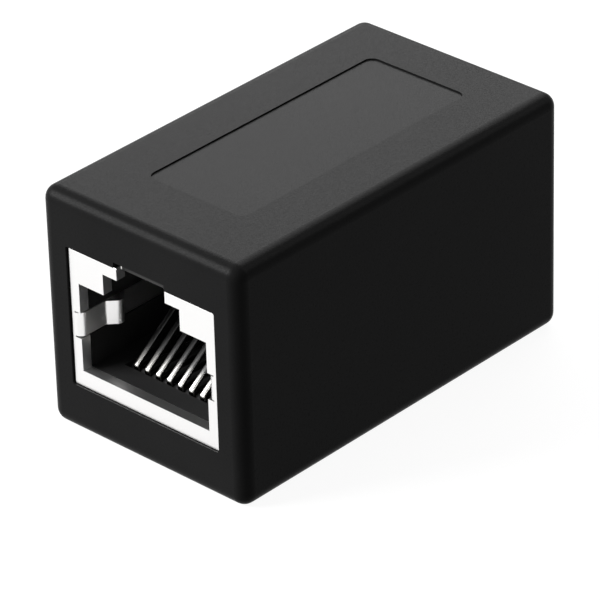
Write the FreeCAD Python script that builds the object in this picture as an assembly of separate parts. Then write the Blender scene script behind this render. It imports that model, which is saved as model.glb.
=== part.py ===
import FreeCAD, Part
import math
import os

# Inline coupler for two eight-contact modular plugs, in millimetres.
# Origin: centre of the underside. +Z is up, +X is to the right of someone who looks
# into the front port, and the front port opens towards -Y. The rear port is the
# front one turned half a turn about Z. Depths are counted from the shield's face.

# ---- moulded housing ----
body_length = 32.0          # the jacks' length follows from it
body_height = 18.2
edge_radius = 1.0           # every outer edge of the housing
side_wall = 1.3
floor_wall = 1.3
roof_wall = 1.3
end_wall = 1.6
side_room = 1.0             # between a shield's side and the housing's wall
jack_drop = 0.06            # middle of the jacks below the housing's middle
inner_corner_radius = 0.4
window_gap = 0.06           # between a shield and its window in the end wall
window_radius = 0.14
window_notch_margin = 0.1   # window's notch beside the shield's notch
window_notch_rise = 0.5     # window's notch above the shield
fit_gap = 0.05              # between fixed neighbours
slide_gap = 0.1             # between pieces pushed into each other

# ---- cap and its collar ----
cap_depth = 1.0             # front face back to the seam round the housing
skirt_length = 3.0          # collar of the cap, behind the seam
skirt_wall = 0.8
skirt_lead_in = 0.3
lug_width = 4.0             # snap lugs on the collar
lug_length = 1.0
lug_height = 0.3
lug_setback = 1.0           # seam to the lug's catching edge

# ---- label recess and inner ribs of the sleeve ----
label_length = 22.2
label_width = 8.7
label_depth = 0.2
label_radius = 0.7
label_shift = 0.55          # towards the rear port
rib_width = 1.0
side_rib_count = 3          # guide ribs on each side wall
side_rib_margin = 2.8       # board's end to the middle of the last guide rib
board_stop_height = 2.4     # rear stops, from the board's underside

# ---- circuit board ----
board_thickness = 1.0
board_side_gap = 0.2
board_end_gap = 0.2
tail_hole_radius = 0.42
tail_hole_sides = 8
leg_slot_width = 0.5

# ---- port: folded metal shield ----
port_recess = 0.15          # shield's face behind the housing's face
port_gap = 2.5              # between the backs of the two shields
sheet = 0.25
frame_bar = 0.875           # metal beside the opening
bend_radius = 0.12          # outer radius of the folds
lip_depth = 0.8             # lips turned in round the opening
plug_width = 11.65
plug_height = 6.74
plug_floor = 1.22           # metal below the opening
step_width = 7.0            # middle step of the opening, for the latch
step_height = 1.59
notch_width = 4.4           # narrow notch at the top, for the latch's lever
notch_height = 0.68
notch_setback = 0.5         # roof's cut edge behind the face, above the notch
finger_width = 1.8          # side spring fingers
finger_height = 2.55        # finger's lower edge above the opening's floor
finger_bend = 0.3           # inner radius where the finger leaves the face
finger_flat = 2.4           # face to the foot of the finger's bump
finger_bump = 0.83
finger_knuckle = 0.35
finger_length = 9.3
finger_gap = 0.1
leg_width = 1.0
leg_length = 1.7
leg_front_depth = 6.9
leg_back_margin = 2.4       # shield's back to the middle of the rear leg
lock_length = 1.4           # windows in the shield that catch on the insulator
lock_height = 2.0
lock_back_margin = 2.2
lock_base = 2.6             # above the shield's lower edge
lock_proud = 0.2

# ---- port: insulator ----
back_block = 2.3            # shield's back to the end of the plug cavity
latch_depth = 9.2           # rear end of the latch's channel
shoulder_depth = 1.8        # rear of the shoulders that hold the latch
trough_margin = 0.22        # opening of the floor beside the row of contacts
trough_front = 2.37         # rear edge of the sill in front of the contacts
peg_radius = 0.6
peg_depth = 9.0
peg_length = 0.9

# ---- port: contacts and their insert ----
contact_count = 8
contact_pitch = 1.02
contact_width = 0.42
contact_thickness = 0.3
contact_run = 0.722         # centre line of the lower run above the jack's underside
contact_bend = 0.28         # centre line radius of the front bend
contact_bend_depth = 2.848  # centre of the front bend
contact_rise = 35.2         # degrees, from the front bend
contact_knee_depth = 6.8
contact_knee_radius = 2.0
contact_tip_rise = 14.0     # degrees, from the knee to the tip
contact_tip_margin = 0.9    # tip to the end of the plug cavity
tail_back_margin = 1.2      # shield's back to the rear row of tails
tail_row_gap = 1.8
tail_bend = 0.4
tail_proud = 0.7            # below the board
insert_front = 2.85
insert_height = 1.0
insert_chamfer = 0.2
comb_thickness = 1.55
comb_height = 7.0
comb_slot_height = 6.3

# ---- places worked out from the sizes above ----
shield_width = plug_width + 2 * frame_bar
shield_height = plug_floor + plug_height + step_height + notch_height + sheet
shield_length = body_length / 2 - port_recess - port_gap / 2
shield_base = (body_height - shield_height) / 2 - jack_drop
body_width = shield_width + 2 * (side_room + side_wall)
front_face = -body_length / 2
seam = front_face + cap_depth
collar_end = seam + skirt_length
shield_face = front_face + port_recess
shield_back = shield_face + shield_length
plug_base = shield_base + plug_floor
plug_top = plug_base + plug_height
step_top = plug_top + step_height
notch_top = step_top + notch_height
shield_top = shield_base + shield_height
inner_x = body_width / 2 - side_wall
inner_top = body_height - roof_wall
board_top = shield_base
board_base = board_top - board_thickness
board_x = inner_x - board_side_gap
board_y = -collar_end - board_end_gap
insulator_x = shield_width / 2 - sheet - fit_gap
insulator_top = notch_top - fit_gap
insulator_back = shield_back - sheet - fit_gap
cavity_end = shield_back - back_block
trough_x = contact_count * contact_pitch / 2 + trough_margin
peg_x = (trough_x + insulator_x) / 2
peg_y = shield_face + peg_depth
leg_places = (shield_face + leg_front_depth, shield_back - leg_back_margin)
lock_y = shield_back - lock_back_margin
tail_rows = (shield_back - tail_back_margin - tail_row_gap, shield_back - tail_back_margin)
finger_base = plug_base + finger_height
finger_top = finger_base + finger_width
run_height = shield_base + contact_run
tip_y = cavity_end - contact_tip_margin
slot_width = contact_width + slide_gap
contact_centres = [(i - (contact_count - 1) / 2) * contact_pitch for i in range(contact_count)]
beyond = 1.0                # how far a cutting tool passes the face that it cuts


def block(x0, x1, y0, y1, z0, z1):
    """Box between two limits on each axis."""
    return Part.makeBox(x1 - x0, y1 - y0, z1 - z0, FreeCAD.Vector(x0, y0, z0))


def prism(corners, extrusion):
    """Solid swept straight from the flat outline through a list of corners."""
    points = [FreeCAD.Vector(*corner) for corner in corners]
    return Part.Face(Part.makePolygon(points + points[:1])).extrude(FreeCAD.Vector(*extrusion))


def mirrored(solid):
    """Copy on the other side of the middle plane."""
    return solid.mirror(FreeCAD.Vector(0, 0, 0), FreeCAD.Vector(1, 0, 0))


def both_sides(solid):
    """A solid and its copy on the other side of the middle plane."""
    return [solid, mirrored(solid)]


def turned(solid):
    """Copy turned half a turn about Z, for the rear port."""
    copy = solid.copy()
    copy.rotate(FreeCAD.Vector(0, 0, 0), FreeCAD.Vector(0, 0, 1), 180)
    return copy


def runs_along(edge, axis):
    """True where a straight edge lies along an axis, 0 for X, 1 for Y, 2 for Z."""
    first, last = (vertex.Point for vertex in edge.Vertexes)
    return all(abs(first[i] - last[i]) < 1e-6 for i in range(3) if i != axis)


def lies_at(edge, axis, value):
    """True where both ends of an edge have the same given coordinate."""
    return all(abs(vertex.Point[axis] - value) < 1e-6 for vertex in edge.Vertexes)


def rounded(solid, radius, wanted):
    """Solid with a fillet on each edge for which wanted(edge) is true."""
    return solid.makeFillet(radius, [edge for edge in solid.Edges if wanted(edge)])


def bent_strip(points, radii, thickness, to_space, extrusion):
    """Strip of even thickness, bent in a plane and then given its width.

    points are the corners of its centre line in the plane, radii the centre line's
    radius at each inner corner, to_space turns plane coordinates into a vector, and
    extrusion is the vector that gives the width.
    """
    headings = []
    for (u0, v0), (u1, v1) in zip(points, points[1:]):
        length = math.hypot(u1 - u0, v1 - v0)
        headings.append(((u1 - u0) / length, (v1 - v0) / length))

    def beside(point, heading, offset):
        """Point at a distance to the left of a heading."""
        return (point[0] - heading[1] * offset, point[1] + heading[0] * offset)

    def side_edges(offset):
        """Lines and arcs that follow the centre line at a distance to its left."""
        edges = []
        start = beside(points[0], headings[0], offset)
        for corner, radius, before, after in zip(points[1:], radii, headings, headings[1:]):
            turn = math.atan2(before[0] * after[1] - before[1] * after[0],
                              before[0] * after[0] + before[1] * after[1])
            towards = math.copysign(1, turn)
            reach = radius * math.tan(abs(turn) / 2)
            entry = (corner[0] - before[0] * reach, corner[1] - before[1] * reach)
            centre = beside(entry, before, radius * towards)
            arm = radius - offset * towards
            stops = []
            for share in (0, 0.5, 1):
                angle = math.atan2(-before[0] * towards, before[1] * towards) + share * turn
                stops.append((centre[0] + arm * math.cos(angle), centre[1] + arm * math.sin(angle)))
            edges.append(Part.makeLine(to_space(*start), to_space(*stops[0])))
            edges.append(Part.Arc(*(to_space(*stop) for stop in stops)).toShape())
            start = stops[2]
        end = beside(points[-1], headings[-1], offset)
        edges.append(Part.makeLine(to_space(*start), to_space(*end)))
        return edges

    left, right = side_edges(thickness / 2), side_edges(-thickness / 2)
    ends = [Part.makeLine(left[0].Vertexes[0].Point, right[0].Vertexes[0].Point),
            Part.makeLine(left[-1].Vertexes[-1].Point, right[-1].Vertexes[-1].Point)]
    outline = Part.Wire(Part.__sortEdges__(left + right + ends))
    return Part.Face(outline).extrude(FreeCAD.Vector(*extrusion))


def opening_tool(grow, y0, y1, top):
    """Stepped opening of a port between two depths, grown all round by a distance."""
    half_plug, half_step, half_notch = (w / 2 + grow for w in (plug_width, step_width, notch_width))
    right = [(half_plug, plug_base - grow), (half_plug, plug_top + grow),
             (half_step, plug_top + grow), (half_step, step_top + grow),
             (half_notch, step_top + grow), (half_notch, top)]
    left = [(-x, z) for x, z in reversed(right)]
    return prism([(x, y0, z) for x, z in right + left], (0, y1 - y0, 0))


def window_tool(y0, y1):
    """Hole of an end wall round a port's shield."""
    half = shield_width / 2 + window_gap
    hole = block(-half, half, y0, y1, shield_base - window_gap, shield_top + window_gap)
    half_notch = notch_width / 2 + window_notch_margin
    notch = block(-half_notch, half_notch, y0, y1, step_top, shield_top + window_notch_rise)
    return rounded(hole, window_radius, lambda edge: runs_along(edge, 1)).fuse(notch)


def outer_form(y0, y1):
    """Stretch between two depths of the rounded bar that cap and sleeve are cut from."""
    bar = block(-body_width / 2, body_width / 2, front_face, -front_face, 0, body_height)
    bar = bar.makeFillet(edge_radius, bar.Edges)
    return bar.common(block(-body_width, body_width, y0, y1, -beyond, body_height + beyond))


def snap_lugs(grow):
    """Four wedges round the cap's collar, or the pockets for them when grown."""
    catch = seam + lug_setback - grow
    tail = catch + lug_length + 2 * grow
    half = lug_width / 2 + grow
    proud = lug_height + grow
    side_x = inner_x - slide_gap
    side_z = body_height / 2 - half
    side = prism([(side_x - skirt_wall / 2, catch, side_z), (side_x + proud, catch, side_z),
                  (side_x + grow, tail, side_z), (side_x - skirt_wall / 2, tail, side_z)],
                 (0, 0, 2 * half))
    lugs = both_sides(side)
    for skirt_z, outward in ((floor_wall + slide_gap, -1), (inner_top - slide_gap, 1)):
        inside = skirt_z - outward * skirt_wall / 2
        lugs.append(prism([(-half, catch, inside), (-half, catch, skirt_z + outward * proud),
                           (-half, tail, skirt_z + outward * grow), (-half, tail, inside)],
                          (2 * half, 0, 0)))
    return lugs


def housing_sleeve():
    """Tube with the rear wall, the label recess, the board's rails and the guide ribs."""
    sleeve = outer_form(seam, -front_face)
    hollow = block(-inner_x, inner_x, seam, -front_face - end_wall, floor_wall, inner_top)
    hollow = rounded(hollow, inner_corner_radius, lambda edge: runs_along(edge, 1))
    recess = block(-label_width / 2, label_width / 2, label_shift - label_length / 2,
                   label_shift + label_length / 2, body_height - label_depth, body_height + beyond)
    recess = rounded(recess, label_radius, lambda edge: runs_along(edge, 2))
    rear_window = window_tool(-front_face - end_wall - beyond, -front_face + beyond)
    sleeve = sleeve.cut([hollow, recess, rear_window] + snap_lugs(slide_gap))

    wall_x = inner_x + side_wall / 2
    guide_x = shield_width / 2 + fit_gap
    rail_sides = (peg_x - rib_width / 2, peg_x + rib_width / 2)
    rail = block(*rail_sides, -board_y, board_y, floor_wall / 2, board_base)
    hold_down = block(*rail_sides, -board_y, board_y, shield_top + fit_gap, inner_top + roof_wall / 2)
    stop = block(guide_x, wall_x, board_y + slide_gap, -front_face - end_wall / 2,
                 board_base, board_base + board_stop_height)
    ribs = both_sides(rail) + both_sides(hold_down) + both_sides(stop)
    reach = board_y - side_rib_margin
    for i in range(side_rib_count):
        rib_y = reach * (2 * i / (side_rib_count - 1) - 1)
        ribs += both_sides(block(guide_x, wall_x, rib_y - rib_width / 2, rib_y + rib_width / 2,
                                 board_top + fit_gap, shield_top))
    return sleeve.fuse(ribs).removeSplitter()


def front_cap():
    """Front wall with its window, and the collar that snaps into the sleeve."""
    collar_x = inner_x - slide_gap
    collar_base, collar_top = floor_wall + slide_gap, inner_top - slide_gap
    collar = block(-collar_x, collar_x, seam - cap_depth / 2, collar_end, collar_base, collar_top)
    collar = rounded(collar, inner_corner_radius, lambda edge: runs_along(edge, 1))
    lead_in = [edge for edge in collar.Edges if lies_at(edge, 1, collar_end)]
    collar = collar.makeChamfer(skirt_lead_in, lead_in)
    bore = block(-collar_x + skirt_wall, collar_x - skirt_wall, front_face + end_wall,
                 collar_end + beyond, collar_base + skirt_wall, collar_top - skirt_wall)
    window = window_tool(front_face - beyond, front_face + end_wall + beyond)
    cap = outer_form(front_face, seam).fuse([collar] + snap_lugs(0))
    return cap.cut([bore, window]).removeSplitter()


def circuit_board():
    """Board that joins the two ports, with holes for tails, legs and pegs."""
    board = block(-board_x, board_x, -board_y, board_y, board_base, board_top)
    through = board_thickness + 2 * beyond
    below = board_base - beyond
    tools = []
    for i, x in enumerate(contact_centres):
        turns = [2 * math.pi * (side + 0.5) / tail_hole_sides for side in range(tail_hole_sides)]
        rim = [(x + tail_hole_radius * math.cos(turn),
                tail_rows[i % 2] + tail_hole_radius * math.sin(turn), below) for turn in turns]
        tools.append(prism(rim, (0, 0, through)))
    hole = Part.makeCylinder(peg_radius + fit_gap, through, FreeCAD.Vector(peg_x, peg_y, below))
    tools += both_sides(hole)
    slot_x = shield_width / 2 - sheet / 2 - leg_slot_width / 2
    half_slot = leg_width / 2 + slide_gap
    for place in leg_places:
        tools += both_sides(block(slot_x, slot_x + leg_slot_width, place - half_slot,
                                  place + half_slot, below, below + through))
    return board.cut(tools + [turned(tool) for tool in tools]).removeSplitter()


def shield_finger():
    """Side spring: bends back from the face, runs along the cavity's wall, with a bump."""
    strip_x = plug_width / 2 + sheet / 2
    root_x = plug_width / 2 + sheet + finger_bend
    mid_face = shield_face + sheet / 2
    foot = shield_face + finger_flat
    centre_line = [(root_x + sheet, mid_face), (strip_x, mid_face), (strip_x, foot),
                   (strip_x - finger_bump, foot + finger_bump), (strip_x, foot + 2 * finger_bump),
                   (strip_x, shield_face + finger_length)]
    radii = [finger_bend + sheet / 2] + [finger_knuckle] * 3
    finger = bent_strip(centre_line, radii, sheet, lambda u, v: FreeCAD.Vector(u, v, finger_base),
                        (0, 0, finger_width))
    return finger.common(block(0, root_x, shield_face, shield_back, shield_base, shield_top))


def port_shield():
    """Folded sheet: face with the stepped opening, roof, sides, back, fingers and legs."""
    half = shield_width / 2
    outer = block(-half, half, shield_face, shield_back, shield_base, shield_top)
    # The back is a flap with butted sides; the other edges are folds.
    outer = rounded(outer, bend_radius, lambda edge: not lies_at(edge, 2, shield_base)
                    and not (lies_at(edge, 1, shield_back) and runs_along(edge, 2)))
    inner = block(-half + sheet, half - sheet, shield_face + sheet, shield_back - sheet,
                  shield_base - beyond, notch_top)
    shell = outer.cut(inner)

    lip_end = shield_face + lip_depth
    shell = shell.fuse(opening_tool(sheet, shield_face + sheet / 2, lip_end, notch_top))
    shell = shell.cut(opening_tool(0, shield_face - beyond, lip_end + beyond, notch_top))
    half_notch = notch_width / 2
    shell = shell.cut(block(-half_notch, half_notch, shield_face - beyond, shield_face + notch_setback,
                            step_top, shield_top + beyond))

    # Each finger is cut free of the side lip above and below it.
    root_x = plug_width / 2 + sheet + finger_bend
    slot = block(0, root_x, shield_face - beyond, lip_end + beyond,
                 finger_base - finger_gap, finger_top + finger_gap)
    shell = shell.cut(both_sides(slot)).fuse(both_sides(shield_finger()))

    lock = block(half - 2 * sheet, half + beyond, lock_y - lock_length / 2, lock_y + lock_length / 2,
                 shield_base + lock_base, shield_base + lock_base + lock_height)
    legs = []
    foot_z = shield_base - leg_length
    for place in leg_places:
        leg = block(half - sheet, half, place - leg_width / 2, place + leg_width / 2,
                    foot_z, shield_base + sheet)
        tip = [edge for edge in leg.Edges if lies_at(edge, 2, foot_z) and runs_along(edge, 0)]
        legs += both_sides(leg.makeChamfer(leg_width / 4, tip))
    return shell.cut(both_sides(lock)).fuse(legs).removeSplitter()


def port_insulator():
    """Moulded block: plug cavity, latch channel, finger windows, contact trough, pegs."""
    front = shield_face + sheet
    ahead = front - beyond
    above = insulator_top + beyond
    half_plug, half_step = plug_width / 2, step_width / 2
    shoulder_end = shield_face + shoulder_depth
    lip_room = shield_face + lip_depth + fit_gap
    body = block(-insulator_x, insulator_x, front, insulator_back, shield_base, insulator_top)
    tools = [
        opening_tool(0, ahead, shoulder_end, above),
        block(-half_plug, half_plug, front, cavity_end, plug_base, plug_top),
        block(-half_step, half_step, shoulder_end, shield_face + latch_depth, plug_top - fit_gap, above),
        # Room for the lips; beside the opening the thin walls start behind them.
        opening_tool(sheet + fit_gap, ahead, lip_room, above),
        block(-insulator_x - beyond, insulator_x + beyond, ahead, lip_room, plug_base, plug_top)]
    tools.append(block(-trough_x, trough_x, shield_face + trough_front, insulator_back + beyond,
                       shield_base - beyond, plug_base))
    tools += both_sides(block(half_plug - fit_gap, insulator_x + beyond, ahead,
                              shield_face + finger_length + 3 * slide_gap,
                              finger_base - finger_gap, finger_top + finger_gap))

    peg = Part.makeCylinder(peg_radius, peg_length + fit_gap,
                            FreeCAD.Vector(peg_x, peg_y, shield_base - peg_length))
    half_nub = lock_length / 2 - slide_gap
    nub_base = shield_base + lock_base + slide_gap
    nub = prism([(insulator_x - fit_gap, lock_y - half_nub, nub_base),
                 (insulator_x + lock_proud, lock_y - half_nub, nub_base),
                 (insulator_x, lock_y + half_nub, nub_base),
                 (insulator_x - fit_gap, lock_y + half_nub, nub_base)],
                (0, 0, lock_height - 2 * slide_gap))
    return body.cut(tools).fuse(both_sides(peg) + both_sides(nub)).removeSplitter()


def contact_insert():
    """Grooved base under the contacts, with the comb that their tips ride in."""
    half = trough_x - slide_gap
    insert_y = shield_face + insert_front
    base_top = shield_base + insert_height
    comb_end = cavity_end - fit_gap
    comb_y = comb_end - comb_thickness
    base = block(-half, half, insert_y, insulator_back, shield_base, base_top)
    nose = [edge for edge in base.Edges if lies_at(edge, 1, insert_y) and lies_at(edge, 2, base_top)]
    comb = block(-half, half, comb_y, comb_end, base_top, shield_base + comb_height)
    insert = base.makeChamfer(insert_chamfer, nose).fuse(comb)
    groove_floor = run_height - contact_thickness / 2
    tail_room = contact_thickness / 2 + slide_gap
    tools = []
    for i, x in enumerate(contact_centres):
        left, right = x - slot_width / 2, x + slot_width / 2
        back = tail_rows[i % 2] + tail_room
        tools += [block(left, right, insert_y - beyond, back, groove_floor, base_top),
                  block(left, right, back - 2 * tail_room - tail_bend, back,
                        shield_base - beyond, base_top),
                  block(left, right, comb_y - beyond, tip_y + 3 * slide_gap, base_top - fit_gap,
                        shield_base + comb_slot_height)]
    return insert.cut(tools).removeSplitter()


def contact(x, row):
    """Formed contact: tail through the board, lower run, front bend, rise, knee and tip."""
    rise, tip_rise = math.radians(contact_rise), math.radians(contact_tip_rise)
    tail_y = tail_rows[row]
    bend_y = shield_face + contact_bend_depth
    # Corner of the sharp fold whose inside the front bend rounds off.
    fold_y = bend_y - contact_bend * math.tan((math.pi - rise) / 2)
    knee_y = shield_face + contact_knee_depth
    knee_z = run_height + (knee_y - fold_y) * math.tan(rise)
    tip_z = knee_z + (tip_y - knee_y) * math.tan(tip_rise)
    centre_line = [(tail_y, board_base - tail_proud), (tail_y, run_height), (fold_y, run_height),
                   (knee_y, knee_z), (tip_y, tip_z)]
    radii = [tail_bend, contact_bend, contact_knee_radius]
    left = x - contact_width / 2
    return bent_strip(centre_line, radii, contact_thickness, lambda u, v: FreeCAD.Vector(left, u, v),
                      (contact_width, 0, 0))


port = {"shield": port_shield(), "insulator": port_insulator(), "contact_insert": contact_insert()}
for number, centre in enumerate(contact_centres):
    port[f"contact_{number + 1}"] = contact(centre, number % 2)

nodes = {"housing_sleeve": housing_sleeve(), "front_cap": front_cap(), "circuit_board": circuit_board()}
for name, solid in port.items():
    nodes[f"front_{name}"] = solid
    nodes[f"rear_{name}"] = turned(solid)

os.makedirs("parts", exist_ok=True)
for name, solid in nodes.items():
    solid.exportStep(f"parts/{name}.step")
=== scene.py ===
import math

import bpy
import numpy as np
from mathutils import Matrix, Vector


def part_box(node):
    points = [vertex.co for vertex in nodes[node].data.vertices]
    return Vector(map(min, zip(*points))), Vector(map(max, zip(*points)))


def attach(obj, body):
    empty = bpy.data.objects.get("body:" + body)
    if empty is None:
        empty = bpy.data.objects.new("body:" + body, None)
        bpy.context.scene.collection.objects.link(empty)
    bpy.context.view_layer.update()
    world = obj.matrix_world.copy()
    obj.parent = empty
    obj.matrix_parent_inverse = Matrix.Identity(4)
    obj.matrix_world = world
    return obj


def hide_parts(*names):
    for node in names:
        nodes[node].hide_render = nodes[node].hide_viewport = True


# Looks of an inline coupler for two eight-contact modular plugs. Metres throughout, in
# the CAD model's frame: +Z up, front port towards -Y, the rear port its half turn.

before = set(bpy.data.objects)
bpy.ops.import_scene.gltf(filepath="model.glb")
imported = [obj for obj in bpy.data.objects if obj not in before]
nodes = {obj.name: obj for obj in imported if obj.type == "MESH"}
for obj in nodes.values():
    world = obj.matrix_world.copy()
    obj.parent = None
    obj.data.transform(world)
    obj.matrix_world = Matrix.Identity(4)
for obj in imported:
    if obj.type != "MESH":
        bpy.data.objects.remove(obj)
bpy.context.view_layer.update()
scene = bpy.context.scene
scene.view_settings.view_transform = "Standard"

MM = 0.001
PORTS = ("front", "rear")

# ---- camera ----
AIM = Vector((2.123, -2.994, 7.761)) * MM    # point that the camera's axis passes
CAMERA_DISTANCE = 313.59 * MM
CAMERA_AZIMUTH = 43.484      # degrees from -Y towards +X
CAMERA_ELEVATION = 30.533
CAMERA_ROLL = 1.621          # degrees, right side down
CAMERA_SENSOR = 36           # millimetres, and so is the lens
CAMERA_LENS = 279.50
CAMERA_CLIP = 0.02

# ---- light: lengths in metres, and levels where 1 is white ----
LAMP_DISTANCE = 0.6          # from the middle of the object's underside
WORLD_SEEN = 1.0             # by the camera and in reflections
WORLD_FILL = 0.08            # by every other ray
FLOOR_REACH = 3.0            # half of the floor's side
FLOOR_GLOW = 0.93            # what is seen of the floor in full shadow
FLOOR_SHADE = 0.14           # grey that the lamps light on top of the glow
FLOOR_BOUNCE = 0.2           # grey that throws light back on the object

# ---- sizes that repeat the model's, in millimetres ----
CONTACT_COUNT = 8
CONTACT_WIDTH = 0.42
CONTACT_THICKNESS = 0.3
CONTACT_RUN = 4.64           # height of the lower run's centre line
CONTACT_FOLD = 13.64         # sharp corner that the front bend rounds off, from the middle
CONTACT_KNEE = (9.05, 7.93)  # from the middle, and height
CONTACT_RADII = (0.4, 0.28, 2.0)    # tail's bend, front bend and knee
TIP_RISE = 14.0              # degrees, from the knee to the tip
END_SCALE = 0.55             # contact's cut ends, against its full section
END_ROUND = 0.06             # length over which an end grows to the full section
LABEL_FLOOR = 18.0
LABEL_LOOK = 18.1            # the recess looks this shallow
MERGE_DISTANCE = 0.0001      # corners of the sleeve's triangles nearer than this are one
HEIGHT_TOLERANCE = 0.001     # corners on the recess's floor lie this near its height

# ---- places on finishes, in millimetres ----
# the roof's cut edge, where the shield's finish carries painted shade, lies within these three
EDGE_FRONT = 15.2            # roof's cut edge lies further out than this
EDGE_BASE = 14.0             # above this
EDGE_REACH = 2.15            # and nearer to the middle plane than this
UNSHADED_POLISH_TOP = 5.0             # contact's finish is bright and unshaded up to here
SHADED_DULL_BASE = 6.1              # and duller, with painted shade, from here up

# ---- how finishes vary ----
NOISE_RANGE = (0.3, 0.7)     # between these lies most of a noise
TONE_SPREAD = 0.2            # plastic's tone, each way, as a share
TINT_COOL = 0.02             # plastic's darker patches are this much bluer, as a share
MOTTLE_SPREAD = 0.08         # plastic's roughness, each way
GRAIN_RELIEF = 0.01 * MM
DRIFT_PER_METRE = 180
PIT_SHARE = 0.5              # height of the pits against the grain's
STREAK_TINT = 0.97           # metal's darker streaks against its lighter ones
STREAK_SPREAD = 0.03         # metal's roughness, each way
STREAK_RELIEF = 0.002 * MM
STREAK_BUMP = 0.05
WEAVE_PER_METRE = 700


# ---- helpers for node trees ----

def worked(tree, operation, value, other=None):
    """Result of a Math node on a socket and, where it takes two, a number or a socket."""
    step = tree.nodes.new("ShaderNodeMath")
    step.operation = operation
    tree.links.new(value, step.inputs[0])
    if isinstance(other, bpy.types.NodeSocket):
        tree.links.new(other, step.inputs[1])
    elif other is not None:
        step.inputs[1].default_value = other
    return step.outputs[0]


def ranged(tree, value, low, high, source=(0.0, 1.0)):
    """Value mapped from a source range to the one between low and high, and clamped."""
    span = tree.nodes.new("ShaderNodeMapRange")
    for label, number in zip(("From Min", "From Max", "To Min", "To Max"), (*source, low, high)):
        span.inputs[label].default_value = number
    tree.links.new(value, span.inputs["Value"])
    return span.outputs["Result"]


def blended(tree, share, first, second):
    """Colour between two, each given as a socket or as the colour itself."""
    mix = tree.nodes.new("ShaderNodeMixRGB")
    tree.links.new(share, mix.inputs["Fac"])
    for label, colour in (("Color1", first), ("Color2", second)):
        if isinstance(colour, bpy.types.NodeSocket):
            tree.links.new(colour, mix.inputs[label])
        else:
            mix.inputs[label].default_value = (*colour, 1)
    return mix.outputs["Color"]


def own_place(tree):
    """Socket with the object's own coordinates, in metres."""
    return tree.nodes.new("ShaderNodeTexCoord").outputs["Object"]


def own_axes(tree):
    """Sockets X, Y and Z of the object's own coordinates."""
    axes = tree.nodes.new("ShaderNodeSeparateXYZ")
    tree.links.new(own_place(tree), axes.inputs["Vector"])
    return axes.outputs


# ---- view and light ----

def place_camera():
    """Camera on a sphere round the aim: level first, then rolled about its own axis."""
    around, up = math.radians(CAMERA_AZIMUTH), math.radians(CAMERA_ELEVATION)
    back = Vector((math.sin(around) * math.cos(up), -math.cos(around) * math.cos(up), math.sin(up)))
    level = Vector((math.cos(around), math.sin(around), 0))
    upright = back.cross(level)
    roll = math.radians(CAMERA_ROLL)
    right = math.cos(roll) * level - math.sin(roll) * upright
    over = math.sin(roll) * level + math.cos(roll) * upright
    data = bpy.data.cameras.new("camera")
    data.sensor_width = CAMERA_SENSOR
    data.lens = CAMERA_LENS
    data.clip_start = CAMERA_CLIP
    camera = bpy.data.objects.new("camera", data)
    axes = Matrix((right, over, back)).transposed().to_4x4()
    camera.matrix_world = Matrix.Translation(AIM + back * CAMERA_DISTANCE) @ axes
    scene.collection.objects.link(camera)
    scene.camera = camera


def softbox(name, direction, width, height, radiance, lean=0.0):
    """Rectangular lamp in a direction from the object, facing it, leaning by degrees.

    An area lamp's energy is its radiance times pi times its area.
    """
    data = bpy.data.lights.new(name, "AREA")
    data.shape = "RECTANGLE"
    data.size, data.size_y = width, height
    data.energy = radiance * math.pi * width * height
    lamp = bpy.data.objects.new(name, data)
    towards = Vector(direction).normalized()
    facing = towards.to_track_quat("Z", "Y").to_matrix().to_4x4()
    turn = Matrix.Rotation(math.radians(lean), 4, "Z")
    lamp.matrix_world = Matrix.Translation(towards * LAMP_DISTANCE) @ facing @ turn
    scene.collection.objects.link(lamp)


def seen_rays(tree):
    """Socket that is 1 for camera, glossy and transmission rays and 0 for the rest."""
    path = tree.nodes.new("ShaderNodeLightPath").outputs
    direct = worked(tree, "MAXIMUM", path["Is Camera Ray"], path["Is Glossy Ray"])
    return worked(tree, "MAXIMUM", direct, path["Is Transmission Ray"])


def studio_world():
    """White to the camera and in reflections, dim as a source of light."""
    world = bpy.data.worlds.new("studio_world")
    scene.world = world
    world.use_nodes = True
    tree = world.node_tree
    background = tree.nodes["Background"]
    background.inputs["Color"].default_value = (1, 1, 1, 1)
    tree.links.new(ranged(tree, seen_rays(tree), WORLD_FILL, WORLD_SEEN), background.inputs["Strength"])


def matt_grey(tree, level):
    """Socket of a diffuse shader in a plain grey."""
    shader = tree.nodes.new("ShaderNodeBsdfDiffuse")
    shader.inputs["Color"].default_value = (level, level, level, 1)
    return shader.outputs[0]


def studio_floor():
    """Plain pale floor: a glow that the lamps make white, with the object's soft shadow.

    The camera and reflections see the glow with the lit grey added. Other rays meet a
    plain matt grey.
    """
    mesh = bpy.data.meshes.new("floor")
    corners = [(x * FLOOR_REACH, y * FLOOR_REACH, 0) for x, y in ((-1, -1), (1, -1), (1, 1), (-1, 1))]
    mesh.from_pydata(corners, [], [(0, 1, 2, 3)])
    material = bpy.data.materials.new("pale_floor")
    mesh.materials.append(material)
    material.use_nodes = True
    tree = material.node_tree
    tree.nodes.clear()
    glow = tree.nodes.new("ShaderNodeEmission")
    glow.inputs["Strength"].default_value = FLOOR_GLOW
    seen = tree.nodes.new("ShaderNodeAddShader")
    tree.links.new(glow.outputs[0], seen.inputs[0])
    tree.links.new(matt_grey(tree, FLOOR_SHADE), seen.inputs[1])
    choice = tree.nodes.new("ShaderNodeMixShader")
    tree.links.new(seen_rays(tree), choice.inputs[0])
    tree.links.new(matt_grey(tree, FLOOR_BOUNCE), choice.inputs[1])
    tree.links.new(seen.outputs[0], choice.inputs[2])
    output = tree.nodes.new("ShaderNodeOutputMaterial")
    tree.links.new(choice.outputs[0], output.inputs["Surface"])
    floor = bpy.data.objects.new("floor", mesh)
    scene.collection.objects.link(floor)


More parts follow.
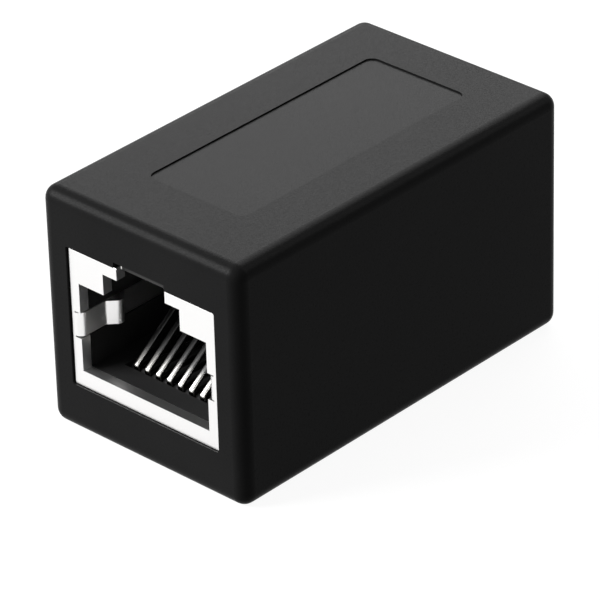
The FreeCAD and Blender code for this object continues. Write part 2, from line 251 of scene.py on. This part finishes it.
place_camera()
softbox("softbox_behind_left", (-0.43, 0.63, 0.64), width=0.62, height=0.32, radiance=4.35, lean=-42.0)
softbox("softbox_front_left", (-0.593, -0.62, 0.51), width=0.36, height=0.32, radiance=19.0)
softbox("card_behind_right", (0.50, 0.62, 0.60), width=0.24, height=0.24, radiance=2.2)
studio_world()
studio_floor()


# ---- finishes ----

def make_moulded_grain():
    """Group: fine spark-eroded grain as a height, a mottle and a slow drift of tone.

    The height is a noise plus a share of the distance to the nearest pit. The mottle
    is that noise alone, and the drift is a much coarser one. The grain's size is given
    in millimetres.
    """
    group = bpy.data.node_groups.new("moulded_grain", "ShaderNodeTree")
    group.interface.new_socket("Grain Size", in_out="INPUT", socket_type="NodeSocketFloat")
    for label in ("Height", "Mottle", "Drift"):
        group.interface.new_socket(label, in_out="OUTPUT", socket_type="NodeSocketFloat")
    given = group.nodes.new("NodeGroupInput")
    out = group.nodes.new("NodeGroupOutput")
    place = own_place(group)
    per_metre = group.nodes.new("ShaderNodeMath")
    per_metre.operation = "DIVIDE"
    per_metre.inputs[0].default_value = 1 / MM
    group.links.new(given.outputs["Grain Size"], per_metre.inputs[1])
    grain = group.nodes.new("ShaderNodeTexNoise")
    grain.inputs["Detail"].default_value = 2
    grain.inputs["Roughness"].default_value = 0.6
    pits = group.nodes.new("ShaderNodeTexVoronoi")
    for pattern in (grain, pits):
        group.links.new(place, pattern.inputs["Vector"])
        group.links.new(per_metre.outputs[0], pattern.inputs["Scale"])
    drift = group.nodes.new("ShaderNodeTexNoise")
    drift.inputs["Scale"].default_value = DRIFT_PER_METRE
    drift.inputs["Detail"].default_value = 3
    group.links.new(place, drift.inputs["Vector"])
    depth = worked(group, "MULTIPLY", pits.outputs["Distance"], PIT_SHARE)
    group.links.new(worked(group, "ADD", depth, grain.outputs["Fac"]), out.inputs["Height"])
    group.links.new(grain.outputs["Fac"], out.inputs["Mottle"])
    group.links.new(drift.outputs["Fac"], out.inputs["Drift"])
    return group


moulded_grain = make_moulded_grain()


def new_finish(name):
    """Material with a Principled shader, its tree and its shader."""
    material = bpy.data.materials.new(name)
    material.use_nodes = True
    return material, material.node_tree, material.node_tree.nodes["Principled BSDF"]


def add_relief(tree, shader, height, strength, distance):
    """Bump on a shader from a height between 0 and 1."""
    relief = tree.nodes.new("ShaderNodeBump")
    relief.inputs["Strength"].default_value = strength
    relief.inputs["Distance"].default_value = distance
    tree.links.new(height, relief.inputs["Height"])
    tree.links.new(relief.outputs["Normal"], shader.inputs["Normal"])


def black_plastic(name, tone, roughness, gloss, grain_size, bump):
    """Moulded black plastic: dark base with drifting tone, uneven roughness and grain."""
    material, tree, shader = new_finish(name)
    grain = tree.nodes.new("ShaderNodeGroup")
    grain.node_tree = moulded_grain
    grain.inputs["Grain Size"].default_value = grain_size
    dark, pale = tone * (1 - TONE_SPREAD), tone * (1 + TONE_SPREAD)
    cool = dark + tone * TINT_COOL
    colour = blended(tree, grain.outputs["Drift"], (dark, dark, cool), (pale, pale, pale))
    tree.links.new(colour, shader.inputs["Base Color"])
    rough = ranged(tree, grain.outputs["Mottle"], roughness - MOTTLE_SPREAD, roughness + MOTTLE_SPREAD,
                   NOISE_RANGE)
    tree.links.new(rough, shader.inputs["Roughness"])
    shader.inputs["Specular IOR Level"].default_value = gloss
    add_relief(tree, shader, grain.outputs["Height"], bump, GRAIN_RELIEF)
    return material


def plated_metal(name, colour, roughness, stretch, streak_size):
    """Plated sheet or wire: metal with faint streaks, drawn out along Y."""
    material, tree, shader = new_finish(name)
    shader.inputs["Metallic"].default_value = 1.0
    drawn = tree.nodes.new("ShaderNodeMapping")
    drawn.inputs["Scale"].default_value = (1, stretch, 1)
    tree.links.new(own_place(tree), drawn.inputs["Vector"])
    streaks = tree.nodes.new("ShaderNodeTexNoise")
    streaks.inputs["Scale"].default_value = 1 / (streak_size * MM)
    streaks.inputs["Detail"].default_value = 3
    tree.links.new(drawn.outputs["Vector"], streaks.inputs["Vector"])
    streak = streaks.outputs["Fac"]
    darker = [level * STREAK_TINT for level in colour]
    tree.links.new(blended(tree, streak, darker, colour), shader.inputs["Base Color"])
    rough = ranged(tree, streak, roughness - STREAK_SPREAD, roughness + STREAK_SPREAD, NOISE_RANGE)
    tree.links.new(rough, shader.inputs["Roughness"])
    add_relief(tree, shader, streak, STREAK_BUMP, STREAK_RELIEF)
    return material


def mix_in(material, mask, grey, roughness):
    """Gives a finish another grey and roughness where the mask is 1."""
    tree = material.node_tree
    for label, level in (("Base Color", grey), ("Roughness", roughness)):
        socket = tree.nodes["Principled BSDF"].inputs[label]
        before = socket.links[0].from_socket
        tree.links.new(blended(tree, mask, before, (level, level, level)), socket)


def rough_cut_edge_painted_shade(material):
    """Rougher finish on the roof's cut edge, which the plating doesn't cover, and painted shade: darker
    grey there, where the window's notch shades it.
    """
    tree = material.node_tree
    axes = own_axes(tree)
    outward, sideways = (worked(tree, "ABSOLUTE", axes[axis]) for axis in "YX")
    beyond = worked(tree, "GREATER_THAN", outward, EDGE_FRONT * MM)
    above = worked(tree, "GREATER_THAN", axes["Z"], EDGE_BASE * MM)
    inside = worked(tree, "LESS_THAN", sideways, EDGE_REACH * MM)
    mask = worked(tree, "MULTIPLY", worked(tree, "MULTIPLY", beyond, above), inside)
    # painted shade: the dark grey stands in for the shade of the window's notch on the edge
    mix_in(material, mask, grey=0.045, roughness=0.55)


def duller_rise_painted_shade(material):
    """Rougher up the contact, with painted shade: darker grey above the bright stretch at its front
    bend, deeper in the cavity where shade falls.
    """
    height = own_axes(material.node_tree)["Z"]
    mask = ranged(material.node_tree, height, 0.0, 1.0, (UNSHADED_POLISH_TOP * MM, SHADED_DULL_BASE * MM))
    # painted shade: the dark grey stands in for the cavity's shade up the wire
    mix_in(material, mask, grey=0.09, roughness=0.3)


def green_board():
    """Green resist over a woven laminate."""
    material, tree, shader = new_finish("board_laminate_finish")
    weave = tree.nodes.new("ShaderNodeTexWave")
    weave.inputs["Scale"].default_value = WEAVE_PER_METRE
    weave.inputs["Distortion"].default_value = 1.5
    tree.links.new(own_place(tree), weave.inputs["Vector"])
    thread = weave.outputs["Fac"]
    colour = blended(tree, thread, (0.004, 0.035, 0.012), (0.008, 0.06, 0.02))
    tree.links.new(colour, shader.inputs["Base Color"])
    tree.links.new(ranged(tree, thread, 0.2, 0.32), shader.inputs["Roughness"])
    return material


housing_finish = black_plastic("housing_plastic_finish", tone=0.0100, roughness=0.32, gloss=0.025,
                               grain_size=0.16, bump=0.5)
# painted sheen: the recess floor's slightly lighter tone stands in for the stronger reflection of its
# smoother finish, whose roughness and gloss are set here too
label_finish_and_sheen = black_plastic("label_recess_finish_and_sheen", tone=0.0115, roughness=0.30, gloss=0.0285,
                             grain_size=0.12, bump=0.35)
insulator_finish = black_plastic("insulator_plastic_finish", tone=0.017, roughness=0.5, gloss=0.08,
                                 grain_size=0.10, bump=0.15)
shield_finish = plated_metal("shield_metal_finish", (0.86, 0.855, 0.85), roughness=0.32,
                             stretch=0.2, streak_size=0.08)
rough_cut_edge_painted_shade(shield_finish)
contact_finish = plated_metal("contact_metal_finish", (0.52, 0.51, 0.49), roughness=0.13,
                              stretch=0.15, streak_size=0.05)
duller_rise_painted_shade(contact_finish)
board_finish = green_board()


# ---- CAD nodes that are kept ----

def paint(node_name, material):
    """Gives a CAD node a finish in place of its plain one."""
    node = nodes[node_name]
    node.data.materials.clear()
    node.data.materials.append(material)


paint("front_cap", housing_finish)
paint("circuit_board", board_finish)
for port in PORTS:
    paint(f"{port}_shield", shield_finish)
    paint(f"{port}_insulator", insulator_finish)
    paint(f"{port}_contact_insert", insulator_finish)


# ---- pieces made here ----

def add_piece(name, mesh, materials, replaced):
    """Object for a finished mesh, riding on the body and standing for its CAD node."""
    piece = bpy.data.objects.new(name, mesh)
    scene.collection.objects.link(piece)
    for material in materials:
        mesh.materials.append(material)
    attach(piece, "root")
    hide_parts(replaced)


def read_values(items, attribute, width, kind):
    """One attribute of a mesh's vertices, corners or faces, as rows of an array."""
    values = np.empty(len(items) * width, kind)
    items.foreach_get(attribute, values)
    return values.reshape(-1, width)


def joined_triangles(mesh):
    """Places, triangles and corner normals of a CAD mesh, its loose triangles joined.

    Corners that round to the same step of the merge distance become one, and a
    triangle left with two equal corners is dropped.
    """
    places = read_values(mesh.vertices, "co", 3, np.float32)
    corners = read_values(mesh.loops, "vertex_index", 1, np.int32).ravel()
    normals = read_values(mesh.corner_normals, "vector", 3, np.float32).reshape(-1, 3, 3)
    steps = np.round(places / (MERGE_DISTANCE * MM)).astype(np.int64)
    _, first, index = np.unique(steps, axis=0, return_index=True, return_inverse=True)
    triangles = index.ravel()[corners].reshape(-1, 3)
    whole = (triangles != np.roll(triangles, 1, axis=1)).all(1)
    return places[first], triangles[whole], normals[whole]


def labelled_sleeve():
    """Sleeve with the shallow look of its label recess, whose floor has a finer finish and a painted
    sheen.

    The surface is the CAD node's. The height of each corner on the recess's floor is
    set to the shallower depth.
    """
    places, triangles, normals = joined_triangles(nodes["housing_sleeve"].data)
    on_floor = np.abs(places[:, 2] - LABEL_FLOOR * MM) < HEIGHT_TOLERANCE * MM
    places[on_floor, 2] = LABEL_LOOK * MM
    mesh = bpy.data.meshes.new("labelled_sleeve")
    mesh.from_pydata(places.tolist(), [], triangles.tolist())
    mesh.shade_smooth()
    mesh.normals_split_custom_set(normals.reshape(-1, 3).tolist())
    add_piece("labelled_sleeve", mesh, (housing_finish, label_finish_and_sheen), "housing_sleeve")
    mesh.polygons.foreach_set("material_index", on_floor[triangles].all(1).astype(np.int32))
    mesh.update()


def rounded_path(corners, radii, steps=9):
    """Points and headings of a plane line through corners, with an arc at each inner one.

    An arc's points lie at equal turns about its centre, which is its radius to the side
    of the line before the corner. The arc starts before the corner by its radius times
    the tangent of half the turn.
    """
    along = [(Vector(end) - Vector(start)).normalized() for start, end in zip(corners, corners[1:])]
    points = [np.array([corners[0]])]
    headings = [np.array([along[0]])]
    for corner, radius, before, after in zip(corners[1:], radii, along, along[1:]):
        turn = math.atan2(before.x * after.y - before.y * after.x, before.dot(after))
        side = math.copysign(radius, turn)
        entry = Vector(corner) - before * radius * math.tan(abs(turn) / 2)
        centre = entry + Vector((-before.y, before.x)) * side
        angle = math.atan2(before.y, before.x) + np.linspace(0, turn, steps)
        heading = np.stack([np.cos(angle), np.sin(angle)], 1)
        left = np.stack([-heading[:, 1], heading[:, 0]], 1)
        points.append(np.array(centre) - left * side)
        headings.append(heading)
    points.append(np.array([corners[-1]]))
    headings.append(np.array([along[-1]]))
    return np.concatenate(points), np.concatenate(headings)


def contact_line(low, high, turn):
    """Corners of a contact's centre line, seen from the side as a front port's contact.

    The tail comes up through the board, the lower run goes to the front bend, and the
    line rises from there to the knee and more gently to the tip. The node's box gives
    the tail's place and end and the tip's height.
    """
    half = CONTACT_THICKNESS / 2
    tail = (high.y if turn == 1 else -low.y) - half
    knee_y, knee_z = -CONTACT_KNEE[0], CONTACT_KNEE[1]
    tip_z = high.z - half
    tip_y = knee_y + (tip_z - knee_z) / math.tan(math.radians(TIP_RISE))
    return [(tail, low.z), (tail, CONTACT_RUN), (-CONTACT_FOLD, CONTACT_RUN), (knee_y, knee_z),
            (tip_y, tip_z)]


def formed_contact(port, number, sides=20):
    """Contact wire: a rounded flat section carried along its bent centre line.

    The section is a superellipse of the fourth power. The first and last rings are
    smaller, and the next ones stand a little in, which rounds the ends off.
    """
    node = f"{port}_contact_{number}"
    low, high = (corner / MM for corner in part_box(node))
    turn = 1 if port == "front" else -1
    points, headings = (np.pad(rows, ((1, 1), (0, 0)), mode="edge")
                        for rows in rounded_path(contact_line(low, high, turn), CONTACT_RADII))
    points[1] += headings[1] * END_ROUND
    points[-2] -= headings[-2] * END_ROUND
    scale = np.ones((len(points), 1))
    scale[[0, -1]] = END_SCALE
    angle = np.linspace(0, 2 * math.pi, sides, endpoint=False)
    across, thick = (np.sign(wave) * np.sqrt(np.abs(wave)) * size / 2 * scale for wave, size in
                     ((np.cos(angle), CONTACT_WIDTH), (np.sin(angle), CONTACT_THICKNESS)))
    x = (low.x + high.x) / 2 + across * turn
    y = (points[:, :1] - headings[:, 1:] * thick) * turn
    z = points[:, 1:] + headings[:, :1] * thick
    places = np.stack([x, y, z], 2).reshape(-1, 3) * MM
    ring = np.arange(sides)
    after = np.roll(ring, -1)
    start = np.arange(len(points) - 1)[:, None] * sides
    quads = np.stack([start + ring, start + sides + ring, start + sides + after, start + after], 2)
    last = ring + (len(points) - 1) * sides
    faces = quads.reshape(-1, 4).tolist() + [ring.tolist(), last[::-1].tolist()]
    name = f"{port}_wire_{number}"
    mesh = bpy.data.meshes.new(name)
    mesh.from_pydata(places.tolist(), [], faces)
    mesh.shade_smooth()
    add_piece(name, mesh, (contact_finish,), node)


labelled_sleeve()
for port in PORTS:
    for number in range(CONTACT_COUNT):
        formed_contact(port, number + 1)
